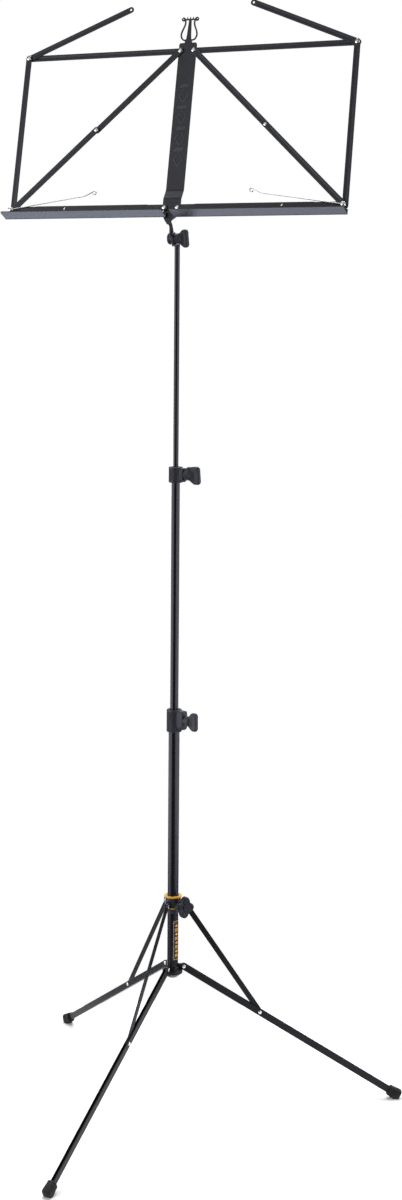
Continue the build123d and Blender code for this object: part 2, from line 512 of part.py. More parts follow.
def make_tray_ledge():
    """Angle that holds the music: a low flange riveted to the tray bar and a rising ledge."""
    start = LEDGE_INNER - SPINE_HALF_PITCH
    end = ARM_W + LEDGE_OVERHANG
    back = layer(TRAY_LAYER) + SHEET / 2
    top, drop = BAR_WIDTH / 2, -LEDGE_DROP
    flange = make_face(Polyline(
        (start, drop), (end, drop), (end, -6.5), (ARM_W - 5.0, -6.0), (ARM_W - 18.0, -1.5),
        (ARM_W - 42.0, top), (26.0, top), (12.0, -1.0), (5.0, -6.0), (start, -6.5), (start, drop),
    ))
    bends = flange.vertices().filter_by(lambda p: -7 < p.Y < top + 1 and 0 < p.X < ARM_W)
    flange = fillet(bends, 2.5)
    ledge = extrude(Pos(0, 0, back) * flange, LEDGE_SHEET)
    front = back + LEDGE_SHEET
    lip = (drop + LEDGE_RISE, front + LEDGE_DEPTH)
    slope = LEDGE_RISE / LEDGE_DEPTH
    inner = drop + LEDGE_SHEET * hypot(1, slope) + slope * LEDGE_SHEET
    profile = make_face(Polyline(
        (drop, back), lip, (lip[0] + LEDGE_SHEET, lip[1]), (inner, front),
        (top + drop, front), (top + drop, back), (drop, back),
    ))
    profile = fillet(profile.vertices().filter_by(lambda p: abs(p.X - inner) < 0.01), LEDGE_BEND)
    section = Plane(origin=(start, 0, 0), x_dir=(0, 1, 0), z_dir=(1, 0, 0))
    shelf = extrude(section * profile, end - start)
    corners = shelf.edges().filter_by(lambda e: e.center().Z > front + LEDGE_DEPTH - 0.2)
    shelf = fillet(corners.filter_by(Axis.Y), 3.0)
    ledge += shelf
    return ledge - Pos(ARM_W - SMALL_RIVET_FROM_END, 0, 0) * Cylinder(SMALL_RIVET_R, 40)


def make_wire():
    """Spring wire that holds the pages: eye round the rivet, shaft, kink and a small end loop."""
    eye_r = RIVET_R + RUNNING + WIRE_R
    wire = Torus(eye_r, WIRE_R)
    kink = Vector(WIRE_LENGTH * cos(radians(WIRE_ANGLE)), WIRE_LENGTH * sin(radians(WIRE_ANGLE)))
    tip_dir = Vector(cos(radians(WIRE_ANGLE + WIRE_KINK)), sin(radians(WIRE_ANGLE + WIRE_KINK)))
    tip = kink + tip_dir * WIRE_TIP
    start = Vector(eye_r * cos(radians(WIRE_ANGLE)), eye_r * sin(radians(WIRE_ANGLE)))
    path = FilletPolyline(start, kink, tip, radius=8.0)
    profile = Plane(origin=start, z_dir=kink - start) * Circle(WIRE_R)
    wire += sweep(profile, path=path)
    loop_r = 2.6
    normal = Vector(tip_dir.Y, -tip_dir.X)
    centre = tip + normal * loop_r
    loop_profile = Plane(origin=tip, z_dir=tip_dir) * Circle(WIRE_R)
    wire += revolve(loop_profile, Axis(centre, (0, 0, -1)), 285)
    return Pos(0, 0, layer(WIRE_LAYER)) * wire


def make_half(side):
    """One half of the desk. Built for the right, along +X, and mirrored for the left."""
    name = "right" if side > 0 else "left"
    reach = SPINE_HALF_PITCH + ARM_W
    low_in, low_out = Vector(SPINE_HALF_PITCH, 0), Vector(reach, 0)
    top_in, top_out = Vector(SPINE_HALF_PITCH, ARM_H), Vector(reach, ARM_H)
    knee_dir = Vector(cos(radians(BRACE_ANGLE)), -sin(radians(BRACE_ANGLE)))
    knee = top_in + knee_dir * UPPER_BRACE

    def put(point, turn, shape):
        placed = Pos(point.X, point.Y, 0) * Rot(0, 0, turn) * shape
        return on_desk(placed if side > 0 else placed.mirror(Plane.YZ))

    small_rivet = Vector(reach - SMALL_RIVET_FROM_END, 0)
    tray_bar = make_bar(ARM_W, index=TRAY_LAYER, last_hole=RIVET_R)
    tray_bar -= Pos(ARM_W - SMALL_RIVET_FROM_END, 0, 0) * Cylinder(SMALL_RIVET_R, 40)
    parts[f"tray_bar_{name}"] = put(low_in, 0, tray_bar)
    parts[f"tray_ledge_{name}"] = put(low_in, 0, make_tray_ledge())
    parts[f"top_bar_{name}"] = put(top_in, 0, make_bar(ARM_W, index=-1, last_hole=RIVET_R))
    parts[f"side_bar_{name}"] = put(low_out, 90, make_bar(ARM_H, index=1))
    parts[f"upper_brace_{name}"] = put(top_in, -BRACE_ANGLE, make_bar(UPPER_BRACE, index=1))
    lower = make_bar(LOWER_BRACE, index=3, last_hole=RIVET_R)
    parts[f"lower_brace_{name}"] = put(low_out, 180 - BRACE_ANGLE, lower)
    arm = make_bar(ARM_LENGTH, width=ARM_WIDTH, index=0, last_hole=1.8)
    parts[f"page_arm_{name}"] = put(top_out, 180 - ARM_ANGLE, arm)
    wire = make_wire().mirror(Plane.YZ)
    parts[f"page_wire_{name}"] = put(low_out, 0, wire)

    half = SHEET / 2
    end_rivet = pivot_rivet(layer(WIRE_LAYER) + WIRE_R + 0.15, layer(1) - half, (True, False))
    washer = ring(SPACER_R, RIVET_R, layer(TRAY_LAYER) + half, layer(WIRE_LAYER) - WIRE_R - 0.15)
    face = layer(TRAY_LAYER) + half + LEDGE_SHEET
    fixing = pivot_rivet(face, layer(TRAY_LAYER) - half, (True, False), SMALL_RIVET_R, SMALL_HEAD_R)
    parts[f"tray_rivets_{name}"] = Compound([
        put(low_out, 0, end_rivet), put(low_out, 0, spacer(2)), put(low_out, 0, spacer(4)),
        put(low_out, 0, washer), put(small_rivet, 0, fixing),
    ])
    corner_rivet = pivot_rivet(layer(1) + half + 0.2, layer(-1) - half)
    parts[f"corner_rivet_{name}"] = put(top_out, 0, corner_rivet)
    under = layer(1) + half + 0.25
    knee_rivet = pivot_rivet(layer(3) + half, under, (True, False), head_r=KNEE_HEAD_R)
    knee_rivet += ring(SPACER_R, RIVET_R, under, layer(3) - half)
    parts[f"brace_rivet_{name}"] = put(knee, 0, knee_rivet)


def make_desk():
    parts["spine"] = on_desk(make_spine())
    parts["tilt_bracket"] = make_tilt_bracket()
    half = SHEET / 2
    top = pivot_rivet(layer(1) + half + 0.2, layer(-1) - half - 0.2)
    tray_front, plate_back = layer(TRAY_LAYER) + half + 0.2, layer(SPINE_FRONT_LAYER) - half
    bottom = pivot_rivet(tray_front, plate_back, (True, False))
    rivets = []
    for u in (-SPINE_HALF_PITCH, SPINE_HALF_PITCH):
        rivets.append(on_desk(Pos(u, ARM_H, 0) * top))
        rivets.append(on_desk(Pos(u, 0, 0) * bottom))
    parts["spine_rivets"] = Compound(rivets)
    for side in (-1, 1):
        make_half(side)


make_mast()
make_clamps()
make_hub()
make_tripod()
make_collar()
make_tilter()
make_desk()

whole = Compound(list(parts.values())).bounding_box()
SHIFT = Vector(-(whole.min.X + whole.max.X) / 2, -(whole.min.Y + whole.max.Y) / 2, -whole.min.Z)

os.makedirs("parts", exist_ok=True)
for node, shape in parts.items():
    export_step(Pos(SHIFT.X, SHIFT.Y, SHIFT.Z) * shape, f"parts/{node}.step")
print(len(parts), "nodes, shift", SHIFT, "box", whole.size)
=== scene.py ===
import json
import math

import bmesh
import bpy
from mathutils import Matrix, Vector


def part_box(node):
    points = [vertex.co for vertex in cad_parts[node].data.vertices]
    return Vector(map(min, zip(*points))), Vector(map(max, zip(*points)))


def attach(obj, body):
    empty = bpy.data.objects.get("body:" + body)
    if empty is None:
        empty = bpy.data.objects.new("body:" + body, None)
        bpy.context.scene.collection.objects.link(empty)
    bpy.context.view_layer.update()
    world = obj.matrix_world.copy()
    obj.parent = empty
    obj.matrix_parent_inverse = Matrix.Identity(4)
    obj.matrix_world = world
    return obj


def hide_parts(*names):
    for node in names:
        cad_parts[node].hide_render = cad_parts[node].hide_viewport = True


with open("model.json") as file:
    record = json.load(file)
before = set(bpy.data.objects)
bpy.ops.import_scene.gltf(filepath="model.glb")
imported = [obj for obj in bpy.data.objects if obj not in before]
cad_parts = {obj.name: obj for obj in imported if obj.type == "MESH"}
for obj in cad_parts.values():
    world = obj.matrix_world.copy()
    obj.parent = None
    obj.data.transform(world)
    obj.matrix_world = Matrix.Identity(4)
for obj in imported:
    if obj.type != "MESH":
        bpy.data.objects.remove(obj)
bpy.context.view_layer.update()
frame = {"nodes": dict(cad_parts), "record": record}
NODES = frame["nodes"]
MM = 0.001

# ---------------------------------------------------------------- measures, in millimetres and degrees

PITCH, ARM_W, ARM_H = 10.0, 241.0, 231.0                # desk: rivets off the middle, reach across and up
LAYER, SHEET, WIRE_R = 1.6, 1.2, 0.75                   # pitch of the stacked bars, their thickness, wire
DESK_TILT, DESK_FOOT = 12.0, (-15.0, 1266.0)            # lean, then y and z of the bottom rivets' line
TRAY_LAYER, WIRE_LAYER = 5, 7
SMALL_RIVET_FROM_END = 87.0
BRACE_STEP = (ARM_W - ARM_H) / 2                        # the lower brace is longer, so that it folds
RIVET_R, SPACER_R = 1.6, 3.5
SPINE_HEAD, CORNER_HEAD = (3.4, 1.7), (3.5, 1.7)        # rivet heads: radius, height
TRAY_HEAD, BRACE_HEAD = (3.2, 1.4), (3.0, 1.5)
SMALL_HEAD, SMALL_RIVET_R = (1.7, 1.4), 1.0
TRIPOD_HEAD = (2.5, 1.1)
LOZENGE_V, LOZENGE_PITCH, LOZENGE_COUNT = 71.5, 31.0, 4
WIRE_ANGLE, WIRE_KINK = 8.5, 20.0                       # page wire above level, and its tip's extra turn
WIRE_LENGTH, WIRE_TIP, WIRE_LOOP_R = 120.0, 14.0, 2.6
LEG_AZIMUTHS = (24.0, 144.0, 264.0)
LEG_PIVOT, FOOT_CENTRE = (16.0, 192.5), (318.0, 8.0)    # radius from the mast, height
LEG_ANGLE = math.degrees(math.atan2(LEG_PIVOT[1] - FOOT_CENTRE[1], FOOT_CENTRE[0] - LEG_PIVOT[0]))
KNEE_R = 125.0                                          # where the strut joins the leg
KNEE_Z = LEG_PIVOT[1] - (KNEE_R - LEG_PIVOT[0]) * math.tan(math.radians(LEG_ANGLE))
EAR_R, EAR_Z = 17.0, 283.0                              # where the strut joins the collar
COLLAR_KNOB_AZIMUTH, COLLAR_KNOB_Z = -28.0, 283.5
BASE_TUBE_R, MID_TUBE_R = 8.0, 6.0
BASE_BOSS, MID_BOSS = (19.5, 13.5), (14.5, 10.0)        # end of the boss from the axis, half its height
KNOB_GAP = 0.5                                          # between a boss's end and its knob
SCREW_R, SCREW_PITCH, SCREW_END = 2.5, 0.8, 32.0
TILT_Z, ROD_END = 1225.5, 1214.5
LABEL = (-64.0, 16.0, 203.0, 260.0)                     # azimuths of its edges, then heights
FLOOR_GAP = 0.02                                        # under the feet's flats

# ---------------------------------------------------------------- where things are

TUBE_LO, TUBE_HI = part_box("base_tube")
AXIS = Vector(((TUBE_LO.x + TUBE_HI.x) / 2, (TUBE_LO.y + TUBE_HI.y) / 2, 0))


def at(x, y, z):
    """Point given in millimetres from the mast's axis, as the CAD model counts."""
    return AXIS + Vector((x, y, z)) * MM


# ---------------------------------------------------------------- materials


class Nodes:
    """Short names for building one material's node tree."""

    def __init__(self, name):
        self.material = bpy.data.materials.new(name)
        self.material.use_nodes = True
        self.tree = self.material.node_tree
        self.shader = self.tree.nodes["Principled BSDF"]
        self.coords = self.tree.nodes.new("ShaderNodeTexCoord").outputs["Object"]

    def set(self, **sockets):
        for name, value in sockets.items():
            self.shader.inputs[name.replace("_", " ")].default_value = value
        return self

    def link(self, source, target):
        self.tree.links.new(source, target)

    def noise(self, scale, detail=3.0, rough=0.55, coords=None):
        node = self.tree.nodes.new("ShaderNodeTexNoise")
        node.inputs["Scale"].default_value = scale
        node.inputs["Detail"].default_value = detail
        node.inputs["Roughness"].default_value = rough
        self.link(coords or self.coords, node.inputs["Vector"])
        return node.outputs["Fac"]

    def cells(self, scale):
        node = self.tree.nodes.new("ShaderNodeTexVoronoi")
        node.inputs["Scale"].default_value = scale
        self.link(self.coords, node.inputs["Vector"])
        return node.outputs["Distance"]

    def stretched(self, x, y, z):
        node = self.tree.nodes.new("ShaderNodeMapping")
        node.inputs["Scale"].default_value = (x, y, z)
        self.link(self.coords, node.inputs["Vector"])
        return node.outputs["Vector"]

    def ramp(self, fac, stops):
        node = self.tree.nodes.new("ShaderNodeValToRGB")
        elements = node.color_ramp.elements
        while len(elements) < len(stops):
            elements.new(0.5)
        for element, (position, colour) in zip(elements, stops):
            element.position = position
            element.color = (*colour, 1)
        self.link(fac, node.inputs["Fac"])
        return node.outputs["Color"]

    def spread(self, fac, low, high, low_in=0.3, high_in=0.7):
        node = self.tree.nodes.new("ShaderNodeMapRange")
        node.inputs["From Min"].default_value = low_in
        node.inputs["From Max"].default_value = high_in
        node.inputs["To Min"].default_value = low
        node.inputs["To Max"].default_value = high
        self.link(fac, node.inputs["Value"])
        return node.outputs["Result"]

    def math(self, operation, a, b):
        node = self.tree.nodes.new("ShaderNodeMath")
        node.operation = operation
        for socket, value in zip(node.inputs, (a, b)):
            if isinstance(value, (int, float)):
                socket.default_value = value
            else:
                self.link(value, socket)
        return node.outputs["Value"]

    def mix(self, fac, a, b):
        node = self.tree.nodes.new("ShaderNodeMix")
        node.data_type = "RGBA"
        self.link(fac, node.inputs["Factor"])
        for socket, value in ((node.inputs["A"], a), (node.inputs["B"], b)):
            if isinstance(value, tuple):
                socket.default_value = (*value, 1)
            else:
                self.link(value, socket)
        return node.outputs["Result"]

    def up(self):
        """How far the surface faces upward, 0 to 1."""
        geometry = self.tree.nodes.new("ShaderNodeNewGeometry")
        split = self.tree.nodes.new("ShaderNodeSeparateXYZ")
        self.link(geometry.outputs["Normal"], split.inputs["Vector"])
        return self.spread(split.outputs["Z"], 0.0, 1.0, 0.35, 1.0)

    def colour(self, socket):
        self.link(socket, self.shader.inputs["Base Color"])
        return self

    def rough(self, socket):
        self.link(socket, self.shader.inputs["Roughness"])
        return self

    def bump(self, *layers):
        """Each layer is (height socket, strength, distance in millimetres)."""
        previous = None
        for height, strength, depth in layers:
            node = self.tree.nodes.new("ShaderNodeBump")
            node.inputs["Strength"].default_value = strength
            node.inputs["Distance"].default_value = depth * MM
            self.link(height, node.inputs["Height"])
            if previous:
                self.link(previous, node.inputs["Normal"])
            previous = node.outputs["Normal"]
        self.link(previous, self.shader.inputs["Normal"])
        return self


def powder_coat(name, dark, light, ior):
    """Satin black powder coat: orange peel, faint cloudiness, a trace of dust on top faces."""
    n = Nodes(name).set(Metallic=0.0, IOR=ior, Specular_Tint=(0.88, 0.90, 1.0, 1))
    base = n.ramp(n.noise(55, 4), [(0.3, dark), (0.7, light)])
    dust = n.math("MULTIPLY", n.up(), n.spread(n.noise(210, 5, 0.65), 0.0, 0.10, 0.45, 0.75))
    n.colour(n.mix(dust, base, (0.16, 0.155, 0.15)))
    n.rough(n.spread(n.noise(700, 3), 0.30, 0.42))
    return n.bump((n.noise(1500, 2, 0.5), 0.13, 0.06), (n.cells(900), 0.06, 0.04)).material


def tube_paint():
    """Smoother black of the mast tubes, with faint lengthwise drawing marks under the coat."""
    n = Nodes("black_tube").set(Metallic=0.0, IOR=1.45, Specular_Tint=(0.88, 0.88, 1.0, 1))
    base = n.ramp(n.noise(40, 3), [(0.3, (0.0045, 0.0045, 0.006)), (0.7, (0.0075, 0.0075, 0.0095))])
    n.colour(base)
    along = n.noise(900, 2, 0.5, n.stretched(1.0, 1.0, 0.012))
    n.rough(n.spread(along, 0.16, 0.24))
    return n.bump((n.noise(1300, 2), 0.06, 0.04), (along, 0.06, 0.03)).material


def rivet_metal():
    """Bright nickel-plated rivet with fine handling scratches."""
    n = Nodes("bright_rivet").set(Metallic=1.0)
    n.colour(n.ramp(n.noise(600, 4), [(0.3, (0.62, 0.62, 0.63)), (0.7, (0.83, 0.83, 0.82))]))
    n.rough(n.spread(n.noise(1700, 3), 0.14, 0.30))
    return n.bump((n.noise(2600, 2), 0.12, 0.03)).material


def screw_metal():
    """Zinc-plated steel, a little dull and mottled."""
    n = Nodes("steel_screw").set(Metallic=1.0)
    n.colour(n.ramp(n.noise(480, 4), [(0.3, (0.42, 0.43, 0.45)), (0.7, (0.60, 0.61, 0.62))]))
    n.rough(n.spread(n.noise(1200, 3), 0.24, 0.42))
    return n.bump((n.noise(2200, 3), 0.20, 0.04)).material


def plastic(name, dark, light, low, high, ior=1.47):
    """Moulded plastic with a spark-eroded grain."""
    n = Nodes(name).set(IOR=ior, Metallic=0.0, Specular_Tint=(0.86, 0.88, 1.0, 1))
    n.colour(n.ramp(n.noise(120, 4), [(0.3, dark), (0.7, light)]))
    n.rough(n.spread(n.noise(1400, 3), low, high))
    return n.bump((n.cells(2100), 0.25, 0.05), (n.noise(260, 3), 0.10, 0.08)).material


def rubber():
    """Matt black rubber, greyer with floor dust lower down."""
    n = Nodes("black_rubber").set(IOR=1.34, Metallic=0.0)
    split = n.tree.nodes.new("ShaderNodeSeparateXYZ")
    n.link(n.coords, split.inputs["Vector"])
    low = n.spread(split.outputs["Z"], 1.0, 0.0, 0.0, 0.008)
    wear = n.math("MULTIPLY", low, n.spread(n.noise(420, 5, 0.7), 0.0, 0.75, 0.35, 0.7))
    base = n.ramp(n.noise(260, 4), [(0.3, (0.004, 0.004, 0.0045)), (0.7, (0.009, 0.009, 0.010))])
    n.colour(n.mix(wear, base, (0.06, 0.058, 0.055)))
    n.rough(n.spread(n.noise(900, 3), 0.62, 0.82))
    return n.bump((n.noise(1500, 4, 0.6), 0.35, 0.08)).material


def spring_steel():
    """Drawn wire, bright, with faint lengthwise lines."""
    n = Nodes("spring_wire").set(Metallic=1.0)
    n.colour(n.ramp(n.noise(520, 3), [(0.3, (0.36, 0.36, 0.37)), (0.7, (0.54, 0.54, 0.54))]))
    n.rough(n.spread(n.noise(1500, 3), 0.24, 0.38))
    return n.bump((n.noise(2400, 2), 0.15, 0.03)).material


def label_film():
    """Dark printed film of the label, a little glossier than the tube."""
    n = Nodes("label_film").set(IOR=1.48, Metallic=0.0)
    n.colour(n.ramp(n.noise(300, 3), [(0.3, (0.010, 0.009, 0.008)), (0.7, (0.018, 0.015, 0.012))]))
    n.rough(n.spread(n.noise(900, 3), 0.22, 0.34))
    return n.bump((n.noise(1800, 2), 0.08, 0.02)).material


def gold_print():
    """Gold ink: warm, half metallic, slightly broken up."""
    n = Nodes("gold_print").set(Metallic=0.25)
    n.colour(n.ramp(n.noise(900, 4), [(0.3, (0.62, 0.29, 0.045)), (0.7, (0.86, 0.44, 0.085))]))
    n.rough(n.spread(n.noise(1500, 3), 0.32, 0.48))
    return n.bump((n.noise(2600, 2), 0.10, 0.02)).material


FINISH = {
    "black_powder_coat": powder_coat(
        "black_powder_coat", (0.0085, 0.0085, 0.010), (0.014, 0.014, 0.016), 1.55
    ),
    "black_tube": tube_paint(),
    "bright_rivet": rivet_metal(),
    "steel_screw": screw_metal(),
    "charcoal_plastic": plastic(
        "charcoal_plastic", (0.0145, 0.0150, 0.0205), (0.0225, 0.0235, 0.0315), 0.40, 0.56
    ),
    "yellow_plastic": plastic(
        "yellow_plastic", (0.66, 0.33, 0.035), (0.80, 0.45, 0.07), 0.34, 0.48
    ),
    "black_rubber": rubber(),
    "spring_wire": spring_steel(),
}


# Darker, less reflective copy of the same powder coat for the legs and struts: painted shade for the dimmer
# light low on the stand.
SHADED_TRIPOD_COAT = powder_coat("tripod_coat_painted_shade", (0.003, 0.003, 0.0036), (0.0055, 0.0055, 0.0065), 1.34)
# Darker, less reflective copy of the knob plastic for the collar's hand knob: painted shade for the dimmer
# light low on the stand.
SHADED_KNOB_PLASTIC = plastic("knob_plastic_painted_shade", (0.0045, 0.005, 0.0075), (0.008, 0.009, 0.0125), 0.42, 0.56, 1.33)
# Lighter copy of the powder coat for the raised pattern on the centre plate: a painted highlight for the
# light caught on its edges.
HIGHLIT_RELIEF_COAT = powder_coat("relief_coat_painted_highlight", (0.024, 0.024, 0.027), (0.040, 0.040, 0.044), 1.55)


def finish_nodes():
    """Give every CAD node the material of its slot; legs and struts get a darker, less reflective copy of
    the coat, painted shade for the dimmer light low on the stand.
    """
    for part in frame["record"]["subparts"]:
        mesh = NODES[part["node"]].data
        mesh.materials.clear()
        tripod = part["node"].startswith(("leg_", "strut_"))
        mesh.materials.append(SHADED_TRIPOD_COAT if tripod else FINISH[part["material_slot"]])


finish_nodes()

# ---------------------------------------------------------------- building pieces


class Shape:
    """Collects skins in millimetres about the mast's axis, then becomes one object."""

    def __init__(self):
        self.points = []
        self.faces = []

    def skin(self, rings, place=Matrix(), ends=(True, True), wrap=False):
        """Faces between closed rings that all have the same number of points."""
        start, count = len(self.points), len(rings[0])
        for ring in rings:
            self.points += [place @ Vector(point) for point in ring]
        pairs = [(row, row + 1) for row in range(len(rings) - 1)]
        if wrap:
            pairs.append((len(rings) - 1, 0))
        for low, high in pairs:
            for step in range(count):
                after = (step + 1) % count
                a, b = start + low * count, start + high * count
                self.faces.append((a + step, a + after, b + after, b + step))
        last = start + (len(rings) - 1) * count
        if ends[0] and not wrap:
            self.faces.append(tuple(range(start + count - 1, start - 1, -1)))
        if ends[1] and not wrap:
            self.faces.append(tuple(range(last, last + count)))
        return self

    def lathe(self, profile, place=Matrix(), count=48, wrap=False):
        """Turned skin from (radius, height) pairs about the local Z."""
        rings = [circle(max(radius, 0.001), height, count) for radius, height in profile]
        return self.skin(rings, place, wrap=wrap)

    def wire(self, path, radius, place=Matrix(), count=14, wrap=False):
        """Round wire along a path of points."""
        path = [Vector(point) for point in path]
        rings, last = [], len(path) - 1
        side = None
        for index, point in enumerate(path):
            before = path[index - 1] if index or wrap else point
            after = path[(index + 1) % len(path)] if index < last or wrap else point
            along = (after - before).normalized()
            if side is None:
                side = along.orthogonal().normalized()
            side = (side - along * side.dot(along)).normalized()
            across = along.cross(side)
            turns = [step * math.tau / count for step in range(count)]
            rings.append([point + radius * (side * math.cos(t) + across * math.sin(t)) for t in turns])
        return self.skin(rings, place, wrap=wrap)

    def finish(self, name, body, slot, *nodes, material=None, sharp=38.0, floor=False):
        """Make the object, let it ride on its body and stand for the CAD nodes named."""
        points = [at(*point) for point in self.points]
        if floor:
            points = [Vector((p.x, p.y, max(p.z, FLOOR_GAP * MM))) for p in points]
        mesh = bpy.data.meshes.new(name)
        mesh.from_pydata(points, [], self.faces)
        bm = bmesh.new()
        bm.from_mesh(mesh)
        bmesh.ops.recalc_face_normals(bm, faces=bm.faces)
        bm.to_mesh(mesh)
        bm.free()
        mesh.polygons.foreach_set("use_smooth", [True] * len(mesh.polygons))
        mesh.set_sharp_from_angle(angle=math.radians(sharp))
        mesh.materials.append(material or FINISH[slot])
        obj = bpy.data.objects.new(name, mesh)
        bpy.context.scene.collection.objects.link(obj)
        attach(obj, body)
        if nodes:
            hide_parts(*nodes)
        return obj


def turned(axis, degrees):
    return Matrix.Rotation(math.radians(degrees), 4, axis)


def moved(x, y, z):
    return Matrix.Translation((x, y, z))


def outward(azimuth, height):
    """Local Z points away from the mast at this height; local X points down."""
    return moved(0, 0, height) @ turned("Z", azimuth) @ turned("Y", 90)


BASE_PLACE, MID_PLACE = outward(-16.0, 547.0), outward(-5.0, 893.5)


def desk(u, v):
    """Place on the desk's plane: u across, v up the desk, local Z forward."""
    return moved(0, *DESK_FOOT) @ turned("X", 90 - DESK_TILT) @ moved(u, v, 0)


def circle(radius, height, count):
    """Ring of points at one height about the local Z."""
    turns = [step * math.tau / count for step in range(count)]
    return [(radius * math.cos(turn), radius * math.sin(turn), height) for turn in turns]


def rounded(half_x, half_y, power, count):
    """Ring between an ellipse (power 2) and a rectangle (high power)."""
    ring = []
    for step in range(count):
        c, s = math.cos(step * math.tau / count), math.sin(step * math.tau / count)
        x = math.copysign(abs(c) ** (2 / power), c) * half_x
        y = math.copysign(abs(s) ** (2 / power), s) * half_y
        ring.append((x, y))
    return ring


def between(rows, count):
    """Rows of numbers, smoothly filled in to count rows by the first column."""
    filled = []
    low, high = rows[0][0], rows[-1][0]
    for step in range(count):
        at_row = low + (high - low) * step / (count - 1)
        index = max(i for i in range(len(rows) - 1) if rows[i][0] <= at_row + 1e-9)
        a, b = rows[index], rows[index + 1]
        fac = (at_row - a[0]) / (b[0] - a[0])
        fac = fac * fac * (3 - 2 * fac)
        filled.append([x + (y - x) * fac for x, y in zip(a, b)])
    return filled


# ---------------------------------------------------------------- knobs


def wing_knob(name, body, node, place, length, neck, wing, upper_root, thick, spread_from):
    """Moulded thumb knob: round neck, dished wing with thumb ribs, a gate mark on the end."""
    up = upper_root
    start = spread_from
    rows = [
        (0.0, neck - 0.7, neck - 0.7, neck - 0.7, 2.0),
        (0.05, max(neck, up * 0.8), neck, neck, 2.0),
        (start - 0.14, max(up, neck * 0.97), neck * 0.97, neck * 0.92, 2.0),
        (start, max(up, neck * 1.1), neck * 1.1, neck * 0.85, 2.2),
        (start + 0.10, max(up, wing * 0.86), wing * 0.84, thick + 0.3, 2.6),
        (start + 0.24, wing * 0.99, wing * 0.99, thick, 3.0),
        (0.86, wing, wing, thick, 3.2),
        (0.94, wing * 0.93, wing * 0.94, thick * 0.94, 3.0),
        (0.985, wing * 0.83, wing * 0.84, thick * 0.8, 2.8),
        (1.0, wing * 0.72, wing * 0.73, thick * 0.55, 2.5),
    ]
    shape, rings, count = Shape(), [], 112
    for along, above, below, half, power in between(rows, 56):
        ring = []
        for x, y in rounded(1.0, half, power, count):
            reach = abs(x)
            width = below if x > 0 else above
            dish = max(0.0, min(1.0, (along - 0.45) / 0.25)) * max(0.0, 1 - (reach / 0.74) ** 4)
            rib = 0.16 * math.sin(along * length * math.tau / 1.7) if along > 0.5 and reach > 0.78 else 0.0
            y *= 1 - 0.24 * dish
            y += math.copysign(rib, y) if abs(y) > 0.6 * half else 0.0
            ring.append((x * width, y, along * length))
        rings.append(ring)
    shape.skin(rings, place)
    shape.lathe([(0.001, length - 0.1), (1.5, length - 0.1), (1.5, length + 0.25), (1.2, length + 0.4),
                 (0.001, length + 0.4)], place, 24)
    return shape.finish(name, body, "charcoal_plastic", node, sharp=50)


def lobe_knob():
    """Four-lobed hand knob with a hollowed face and a raised centre."""
    place = outward(COLLAR_KNOB_AZIMUTH, COLLAR_KNOB_Z) @ moved(0, 0, 16.0)
    count = 144

    def edge(turn):
        swing = 0.5 + 0.5 * math.cos(4 * (turn - math.radians(-8)))
        return 10.1 + 4.8 * swing ** 0.8

    rows = [(0.0, 5.4, 0.0), (0.4, 6.0, 0.0), (3.6, 5.8, 0.0), (4.6, 6.4, 0.0), (5.2, 0.86, 1.0),
            (5.8, 0.955, 1.0), (6.8, 0.995, 1.0), (9.5, 1.0, 1.0), (12.4, 0.995, 1.0), (13.6, 0.955, 1.0),
            (14.3, 0.88, 1.0), (14.5, 0.80, 1.0), (14.3, 0.72, 1.0), (13.7, 0.66, 1.0), (13.5, 0.60, 1.0)]
    rings = []
    for height, size, lobed in rows:
        ring = []
        for step in range(count):
            turn = step * math.tau / count
            radius = edge(turn) * size if lobed else size
            ring.append((radius * math.cos(turn), radius * math.sin(turn), height))
        rings.append(ring)
    centre = ((13.45, 5.4), (14.2, 5.1), (14.45, 4.6), (14.4, 1.4), (14.1, 1.0), (14.1, 0.001))
    rings += [circle(radius, height, count) for height, radius in centre]
    shape = Shape().skin(rings, place)
    # Its plastic is the darker copy, painted shade low on the stand.
    return shape.finish("collar_hand_knob", "collar_lock", "charcoal_plastic", "collar_knob",
                        material=SHADED_KNOB_PLASTIC, sharp=40)


def threaded_screw(name, body, node, place, tip, end):
    """Machine screw with a rolled thread and a turned tip."""
    rings, count, steps = [], 28, int((end - tip) / 0.16)
    for row in range(steps + 1):
        height = tip + (end - tip) * row / steps
        taper = min(1.0, 0.8 + (height - tip) * 0.25)
        ring = []
        for step in range(count):
            phase = (height / SCREW_PITCH - step / count) % 1.0
            depth = 0.34 * abs(2 * phase - 1)
            r = (SCREW_R - depth) * taper
            turn = step * math.tau / count
            ring.append((r * math.cos(turn), r * math.sin(turn), height))
        rings.append(ring)
    return Shape().skin(rings, place).finish(name, body, "steel_screw", node, sharp=80)


# ---------------------------------------------------------------- clamps


